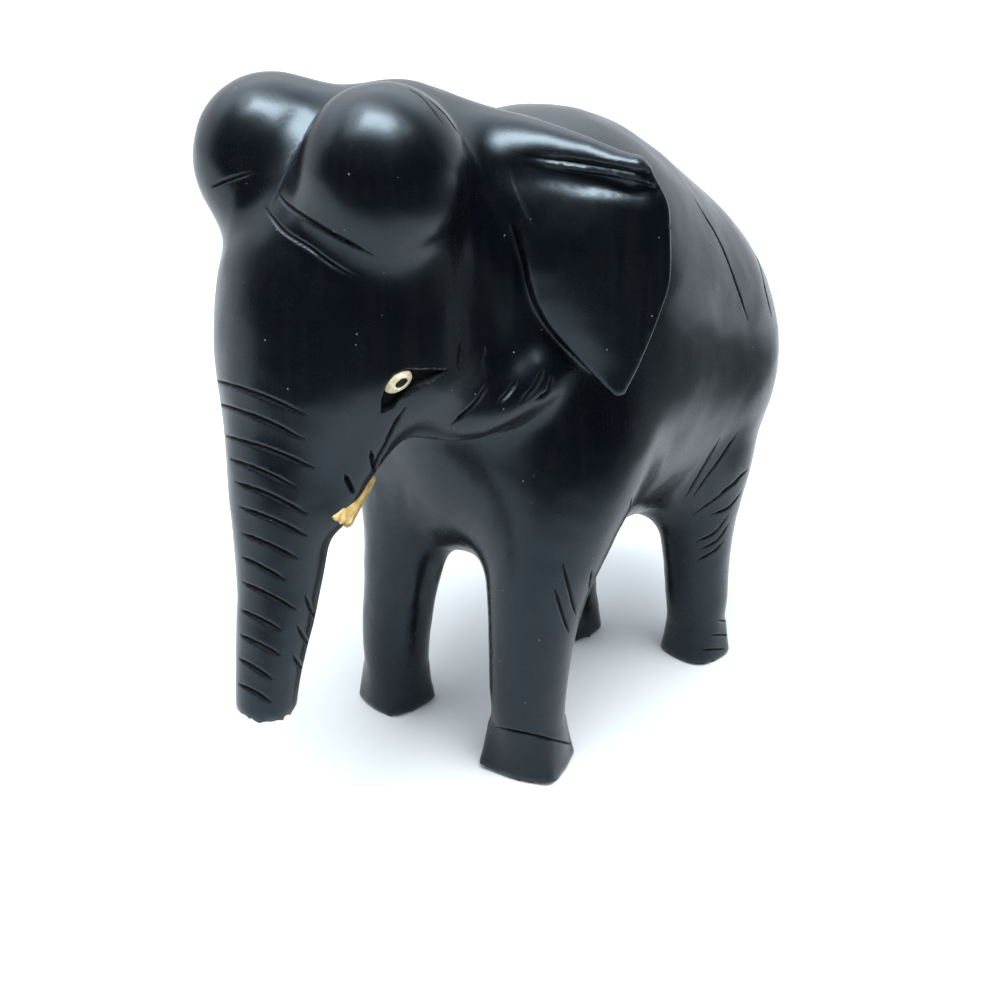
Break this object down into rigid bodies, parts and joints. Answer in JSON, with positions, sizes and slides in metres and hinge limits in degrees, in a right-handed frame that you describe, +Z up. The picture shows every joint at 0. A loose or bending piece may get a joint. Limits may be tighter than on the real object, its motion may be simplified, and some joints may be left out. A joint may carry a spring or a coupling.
{
  "type": "carved wooden elephant figurine",
  "caption": "Standing elephant carved from black ebony, head and trunk lowered, with flared ears, bone eyes and broken tusk stubs beside a chipped trunk.",
  "frame": {"origin": "on the floor under the middle of the bounding box", "axes": "+Z up; the elephant faces -Y and its own left side is +X"},
  "size_m": [0.0742, 0.1364, 0.1231],
  "materials": {
    "ebony": "satin, hand polished, near black",
    "eye_bone": "smooth cream bone",
    "tusk_bone": "rough yellow-brown broken bone"
  },
  "bodies": {
    "root": {"elephant": "ebony", "eye_left": "eye_bone", "eye_right": "eye_bone", "tusk_stub_left": "tusk_bone", "tusk_stub_right": "tusk_bone"}
  },
  "joints": []
}
